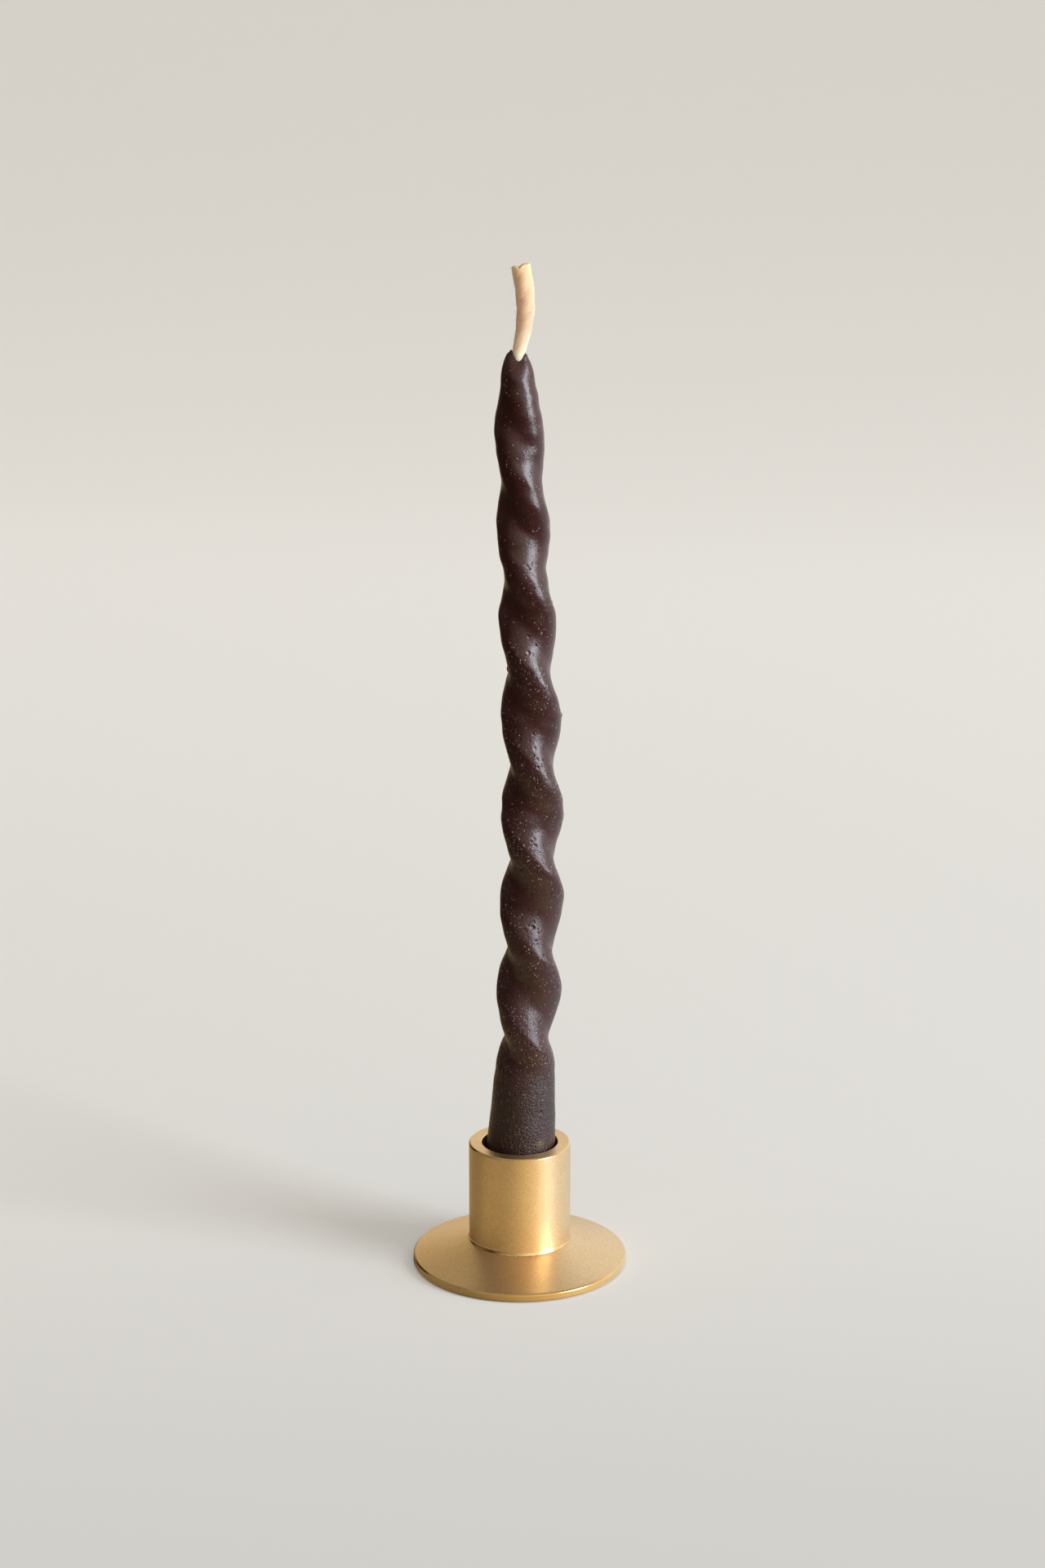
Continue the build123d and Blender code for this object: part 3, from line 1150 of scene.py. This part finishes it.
    def edge(self, column: np.ndarray) -> np.ndarray:
        """Edge that runs along each lobe: exp(-d / reach), where d is the angle from it, blunt at 0."""
        off = turn_from(2 * column, 2 * self.edge_lead) / 2
        away = np.sqrt(off**2 + self.edge_blunt**2) - self.edge_blunt
        return np.exp(-away / self.edge_reach)

    def exit_share(self, height: np.ndarray) -> np.ndarray:
        """How much of the wick's sideways step at the tip has been taken at a height."""
        return ease((height - self.length + 10.0) / 6.0)

    def crowd(self, height: np.ndarray, column: np.ndarray) -> np.ndarray:
        """Share of the skin's cells that hold a pit: many low on the candle and on the lobes' ridges."""
        ridge = 0.55 + 0.45 * np.cos(2 * column) * ease((height - self.twist_start) / self.twist_blend)
        start, span = self.crowd_fade
        return (self.crowd_low - self.crowd_loss * ease((height - start) / span)) * ridge

    def brassy_patch(self, height: np.ndarray, angle: np.ndarray) -> np.ndarray:
        """A brassy patch painted on the wax just above the cup."""
        around = turn_from(angle, math.radians(self.brassy_angle)) * self.plug_radius
        above = height - self.brassy_height
        spread = -((above / self.brassy_tall) ** 2) - (around / self.brassy_wide) ** 2
        return np.exp(spread) * self.brassy_share

    def wick_line(self, share: np.ndarray) -> tuple[np.ndarray, np.ndarray, np.ndarray]:
        """Sideways place, height and slope of the wick's free end at shares of its length."""
        start = self.bow_at(np.array(self.length)) + self.wick_exit
        sideways = start + self.wick_set * share + self.wick_bend * np.sin(math.pi * share)
        slope = (self.wick_set + self.wick_bend * math.pi * np.cos(math.pi * share)) / self.wick_stub
        return sideways, self.length + self.wick_stub * share, slope

    def wick_girth(self, share: np.ndarray) -> np.ndarray:
        """Radius of the wick's free end: a quarter sine up to its full swelling."""
        swell = np.sin(np.clip(share / self.wick_swell_share, 0, 1) * math.pi / 2)
        return self.wick_radius + (self.wick_end_radius - self.wick_radius) * swell

    def cleft(self, across: np.ndarray) -> np.ndarray:
        """Depth of the split in the wick's cut end, a bell a little left of its middle."""
        return self.cleft_depth * np.exp(-(((across - self.cleft_place) / self.cleft_width) ** 2))

    def free_share(self, points: np.ndarray) -> np.ndarray:
        """Share of the wick's free length at each point's height, 0 inside the wax."""
        return np.clip((points[:, 2] - self.foot - self.length) / self.wick_stub, 0, 1)

    def wick_surface(self) -> Surface:
        """Wick from the candle's foot to its cut end, with three strands wound round each other.

        Inside the wax it is a plain round cord. On the free end each ring stands square to the wick's line,
        and its radius is girth * (1 + relief * |cos(1.5 (a - twist))|), which gives three rounded strands.
        The end closes in a low dome with a split.

        Returns:
            The surface, with its share of the free length and its weave coordinates as marks.
        """
        angle = np.linspace(0, FULL_TURN, self.wick_columns, endpoint=False)[None]
        inside = np.linspace(0.05, self.length - 1.2, 40)[:, None]
        share = np.linspace(0.0, 0.985, 110)[:, None]
        sideways, height, slope = self.wick_line(share)
        start = self.bow_at(inside) + self.wick_exit * self.exit_share(inside)
        strands = np.abs(np.cos(1.5 * (angle - FULL_TURN * share * self.strand_turns)))
        relief = self.strand_relief * ease(share / 0.25)
        girth = self.wick_girth(share) * (1 + relief * (strands - 0.75))
        lean = np.sqrt(1 + slope**2)
        cut = ease((share - 0.92) / 0.065)
        free = np.stack([
            sideways + girth * np.cos(angle) / lean,
            girth * np.sin(angle) + 0 * share,
            height - girth * np.cos(angle) * slope / lean - cut * self.cleft(girth * np.cos(angle)),
        ], axis=-1)
        core = ring_points(self.wick_radius, angle, inside, start)
        closing = np.linspace(0, math.pi / 2, 10)[1:-1, None]
        end_girth = girth[-1:] * np.cos(closing) ** 0.7
        end_rise = 0.22 * np.sin(closing) - self.cleft(end_girth * np.cos(angle))
        end_lean = lean[-1]
        end = np.stack([
            sideways[-1] + end_girth * np.cos(angle) / end_lean + end_rise * slope[-1] / end_lean,
            end_girth * np.sin(angle),
            height[-1] - end_girth * np.cos(angle) * slope[-1] / end_lean + end_rise / end_lean,
        ], axis=-1)
        rings = np.vstack([core, free, end])
        rings[..., 2] += self.foot
        low_pole, high_pole = (ring.mean(axis=0, keepdims=True) for ring in (rings[0], rings[-1]))
        surface = capped_tube(rings, low_pole, high_pole)
        along = self.free_share(surface.points)
        twist = np.arctan2(surface.points[:, 1], surface.points[:, 0]) - along * FULL_TURN * self.strand_turns
        surface.marks = {
            "along": along,
            "weave": np.stack([np.cos(twist), np.sin(twist), along * 2.0], axis=1),
        }
        return surface

    def fuzz_surface(self) -> Surface:
        """Stray cotton fibres on the free end: thin three-sided hairs that curl away from the wick.

        A hair starts on the wick's skin and runs outwards by length * t, bent sideways by curl * t^2.

        Returns:
            The surface, with the same marks as the wick.
        """
        count, steps, sides = self.fuzz_count, 5, 3
        share = self.random.uniform(0.04, 0.985, count)
        angle = self.random.uniform(0, FULL_TURN, count)
        length = self.random.uniform(*self.fuzz_length, count)
        sideways, height, slope = self.wick_line(share)
        girth = self.wick_girth(share) * 0.94
        outward = np.stack([np.cos(angle), np.sin(angle), self.random.uniform(-0.5, 0.9, count)], axis=1)
        outward /= np.linalg.norm(outward, axis=1, keepdims=True)
        curl = self.random.normal(0, self.fuzz_curl, (count, 3))
        root = np.stack([
            sideways + girth * np.cos(angle),
            girth * np.sin(angle),
            self.foot + height - girth * np.cos(angle) * slope,
        ], axis=1)
        t = np.linspace(0, 1, steps)[None, :, None]
        spine = root[:, None] + length[:, None, None] * (outward[:, None] * t + curl[:, None] * t**2)
        spine[..., 2] = np.minimum(spine[..., 2], self.foot + self.wick_top)
        across = np.cross(outward, curl)
        across /= np.linalg.norm(across, axis=1, keepdims=True)
        beside = np.cross(outward, across)
        corner = np.linspace(0, FULL_TURN, sides, endpoint=False)
        thick = (self.fuzz_radius * (1 - 0.6 * t))[..., None]
        offset = across[:, None] * np.cos(corner)[:, None] + beside[:, None] * np.sin(corner)[:, None]
        points = spine[:, :, None] + thick * offset[:, None]
        first = (np.arange(count) * steps * sides)[:, None, None]
        quads = (first + grid_quads(steps, sides)[None]).reshape(-1, 4)
        start_cap = first[:, 0] + np.array([[2, 1, 0]])
        end_cap = start_cap[:, ::-1] + (steps - 1) * sides
        flat = points.reshape(-1, 3)
        marks = {"along": self.free_share(flat), "weave": flat * 0.6}
        return Surface(flat, quads, np.vstack([start_cap, end_cap]), marks)


# Studio


@dataclass(frozen=True)
class Patch:
    """A soft patch of the surround that gloss sees.

    Attributes:
        heading: where the patch lies, seen from the holder.
        start: cosine of the angle from the heading at which the patch starts.
        full: cosine at which it is full.
        level: how bright it is.
    """

    heading: Vector
    start: float
    full: float
    level: float = 1.0

    def share(self, graph: ShaderGraph, towards: Signal) -> Signal:
        """Ease from 0 outside of the patch to 1 inside, over headings of length 1."""
        return graph.along(towards, self.heading).rise(self.start, self.full)


@dataclass(frozen=True)
class Studio:
    """Pale paper sweep, one large soft light from the right and a dim world that is darker on the left.

    Lengths here are in metres, angles in degrees.
    """

    paper: Colour = (0.733, 0.725, 0.679)
    paper_roughness: float = 0.4
    near_shade: float = 0.20
    shade_depth: tuple[float, float] = (-0.15, 0.06)
    far_glow: float = 0.12
    glow_depth: tuple[float, float] = (-0.1, 0.8)
    glow_end: tuple[float, float] = (0.7, 1.5)
    glow_loss: float = 0.8
    flat_share: float = 0.25
    flat_glow: float = 0.28
    glow_tint: Colour = (1.0, 0.993, 0.950)
    foot_edge: tuple[float, float] = (0.0184, 0.0194)
    near_level: float = 0.40
    near_side: Patch = Patch((0.98, -0.17, 0.0), -0.4, 1.0, 0.43)
    # Painted shadow: the holder's shadow at the back left, as gloss sees the paper.
    shadow_dip_side: Patch = Patch((-0.93, 0.36, 0.0), 0.75, 1.0, 0.14)
    rim_shade: float = 0.55
    rim_reach: tuple[float, float] = (0.019, 0.027)
    far_level: float = 0.03
    far_side: Patch = Patch((0.62, 0.78, 0.0), 0.1, 1.1, 0.97)
    gloss_reach: tuple[float, float] = (0.07, 0.18)
    cool_side: Patch = Patch((0.90, 0.44, 0.0), 0.0, 0.8)
    room_tint: Colour = (1.28, 1.0, 0.56)
    window_tint: Colour = (0.98, 1.0, 1.02)
    floor_front: float = -3.0
    sweep_start: float = 0.9
    sweep_radius: float = 0.9
    sweep_steps: int = 25
    wall_top: float = 2.6
    half_width: float = 3.0
    edge_fade: tuple[float, float] = (0.8, 2.8)
    lamp_fade: tuple[float, float] = (0.24, 0.66)
    key_azimuth: float = -27.0
    key_elevation: float = 21.0
    key_distance: float = 1.2
    key_width: float = 0.50
    key_height: float = 0.85
    key_power: float = 13.5
    key_tone: Colour = (0.92, 1.0, 1.12)
    world_dark: float = 0.03
    world_side: Patch = Patch((0.99, -0.06, 0.12), -0.25, 0.9, 1.12)
    world_tone: Colour = (1.08, 0.98, 0.92)
    top_shade: float = 0.7
    top_height: tuple[float, float] = (0.4, 0.85)
    front_side: Patch = Patch((-0.05, -0.74, 0.67), 0.55, 0.95, 0.36)
    front_tone: Colour = (1.10, 0.95, 0.80)
    left_side: Patch = Patch((-0.68, 0.25, 0.69), 0.70, 0.97, 0.22)
    camera_place: Vector = (0.000505, -0.4708, 0.20717)
    camera_pitch: float = 14.24
    camera_lens: float = 65.0
    camera_sensor: float = 36.0

    def build(self) -> None:
        """Set up the paper, the lights, the camera and the colour view."""
        self.put_paper()
        self.put_key_light()
        self.light_world()
        self.put_camera()
        bpy.context.scene.view_settings.view_transform = "Standard"

    def put_paper(self) -> None:
        """One sheet: a flat floor, a quarter circle, and a wall, as a profile carried across."""
        bend = np.linspace(0, math.pi / 2, self.sweep_steps)
        depth = np.concatenate([
            [self.floor_front],
            self.sweep_start + self.sweep_radius * np.sin(bend),
            [self.sweep_start + self.sweep_radius],
        ])[:, None]
        height = np.concatenate([[0.0], self.sweep_radius * (1 - np.cos(bend)), [self.wall_top]])[:, None]
        across = np.array([-self.half_width, self.half_width])
        points = np.stack(np.broadcast_arrays(across, depth, height), axis=-1).reshape(-1, 3)
        row = np.arange(len(depth) - 1)[:, None] * 2
        faces = row + np.array([[0, 1, 3, 2]])
        mesh = bpy.data.meshes.new("paper_sweep")
        mesh.from_pydata(points.tolist(), [], faces.tolist())
        mesh.polygons.foreach_set("use_smooth", np.ones(len(mesh.polygons), bool))
        mesh.materials.append(self.paper_material())
        sweep = bpy.data.objects.new("paper_sweep", mesh)
        bpy.context.scene.collection.objects.link(sweep)

    def paper_material(self) -> bpy.types.Material:
        """Matt paper that is see-through from below.

        The camera sees the lit paper with a flat share of its own glow, which keeps the shadow light, and an
        even pale tone towards the sheet's edges and the lamp. Gloss sees a soft surround instead.
        """
        made = bpy.data.materials.new("studio_paper")
        made.use_nodes = True
        made.cycles.emission_sampling = "NONE"
        graph = ShaderGraph(made.node_tree)
        place = graph.place()
        depth = graph.part(place, "Y")
        dim = tuple(c * (1 - self.near_shade) for c in self.paper)
        tone = graph.mix(depth.rise(*self.shade_depth), dim, self.paper)
        seen = graph.ray("Is Camera Ray")
        mirrored = graph.ray("Is Glossy Ray")
        tone = graph.mix(mirrored + seen * self.flat_share, tone, (0.0, 0.0, 0.0))
        matt = graph.node("ShaderNodeBsdfDiffuse", {}, {"Color": tone, "Roughness": self.paper_roughness})
        heading = graph.vector("NORMALIZE", graph.vector("MULTIPLY", place, (1, 1, 0)))
        reach = graph.reach(place)
        gloss = self.floor_gloss(graph, heading, reach)
        mirrored_tint = graph.mix(self.cool_side.share(graph, heading), self.room_tint, self.window_tint)
        tint = graph.mix(mirrored, self.glow_tint, mirrored_tint)
        back = depth.rise(*self.glow_depth) * (1 - depth.rise(*self.glow_end) * self.glow_loss)
        back_glow = back * self.far_glow
        flat_glow = seen * reach.rise(*self.foot_edge) * self.flat_glow
        glow_level = (1 - mirrored) * back_glow + flat_glow + mirrored * gloss
        glow = graph.shine("Emission", tint, glow_level)
        lit = graph.node("ShaderNodeAddShader", {}, {0: matt, 1: glow})
        pale = graph.shine("Emission", self.paper, 1.0)
        lit = graph.blend(seen * (1 - self.floor_middle(graph, place, depth)), lit, pale)
        clear = graph.node("ShaderNodeBsdfTransparent")
        behind = graph.node("ShaderNodeNewGeometry", output="Backfacing")
        graph.node("ShaderNodeOutputMaterial", {}, {"Surface": graph.blend(behind, lit, clear)})
        return made

    def floor_gloss(self, graph: ShaderGraph, heading: Signal, reach: Signal) -> Signal:
        """How bright gloss sees the paper.

        Near the foot it is brighter on the right, with a painted shadow at the back left, where the holder's
        shadow falls, and a shade beside the rim.
        Further off it is dark but for a bright stretch behind on the right.

        Args:
            graph: the graph to add to.
            heading: heading of a place on the paper, level and of length 1.
            reach: distance of that place from the holder's middle.

        Returns:
            The level, where 1 is white.
        """
        right = self.near_side.share(graph, heading)
        near = self.near_level + self.near_side.level * right
        near = near * (1 - (1 - reach.rise(*self.rim_reach)) * (1 - right) * self.rim_shade)
        # Painted shadow: the holder's shadow, dimmed into what gloss sees at the back left.
        near = near - self.shadow_dip_side.level * self.shadow_dip_side.share(graph, heading)
        far = self.far_level + self.far_side.level * self.far_side.share(graph, heading)
        return near + (far - near) * reach.rise(*self.gloss_reach)

    def floor_middle(self, graph: ShaderGraph, place: Signal, depth: Signal) -> Signal:
        """1 on the middle of the paper, easing to 0 towards its front, its sides and the lamp."""
        side = graph.part(place, "X")
        inside = 1 - (side * side).rise(*(edge * edge for edge in self.edge_fade))
        inside = inside * (1 - (0 - depth).rise(*self.edge_fade))
        turn = math.radians(self.key_azimuth)
        lampward = graph.along(place, (math.cos(turn), math.sin(turn), 0.0))
        return inside * (1 - lampward.rise(*self.lamp_fade))

    def put_key_light(self) -> None:
        """Large soft light, aimed at the middle of the candle's foot."""
        lamp = bpy.data.lights.new("key_light", "AREA")
        lamp.shape = "RECTANGLE"
        lamp.size = self.key_width
        lamp.size_y = self.key_height
        lamp.energy = self.key_power
        lamp.color = self.key_tone
        key = bpy.data.objects.new("key_light", lamp)
        turn, rise = math.radians(self.key_azimuth), math.radians(self.key_elevation)
        flat = self.key_distance * math.cos(rise)
        key.location = (flat * math.cos(turn), flat * math.sin(turn), self.key_distance * math.sin(rise))
        key.rotation_euler = (math.pi / 2 - rise, 0.0, turn + math.pi / 2)
        key.visible_camera = False
        bpy.context.scene.collection.objects.link(key)

    def light_world(self) -> None:
        """Soft surround, bright on the right and dim elsewhere, that the camera sees as paper."""
        world = bpy.data.worlds.new("studio_world")
        bpy.context.scene.world = world
        world.use_nodes = True
        graph = ShaderGraph(world.node_tree)
        heading = graph.node("ShaderNodeTexCoord", output="Generated")
        level = self.world_dark + self.world_side.level * self.world_side.share(graph, heading)
        level = level * (1 - graph.part(heading, "Z").rise(*self.top_height) * self.top_shade)
        front = self.front_side.share(graph, heading)
        level = level + front * self.front_side.level
        level = level + self.left_side.share(graph, heading) * self.left_side.level
        soft = graph.shine("Background", graph.mix(front, self.world_tone, self.front_tone), level)
        pale = graph.shine("Background", self.paper, 1.0)
        both = graph.blend(graph.ray("Is Camera Ray"), soft, pale)
        graph.node("ShaderNodeOutputWorld", {}, {"Surface": both})

    def put_camera(self) -> None:
        """Camera of the reference view: level from side to side, looking a little down."""
        view = bpy.data.cameras.new("portrait")
        view.lens = self.camera_lens
        view.sensor_width = self.camera_sensor
        camera = bpy.data.objects.new("portrait", view)
        camera.location = self.camera_place
        camera.rotation_euler = (math.radians(90 - self.camera_pitch), 0.0, 0.0)
        bpy.context.scene.collection.objects.link(camera)
        bpy.context.scene.camera = camera


def main() -> None:
    """Load the frame, build the holder, the candle and the studio."""
    logging.basicConfig(level=logging.INFO, format="%(message)s")
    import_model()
    Studio().build()
    BrassHolder().build()
    TwistedCandle().build()


if __name__ == "__main__":
    main()
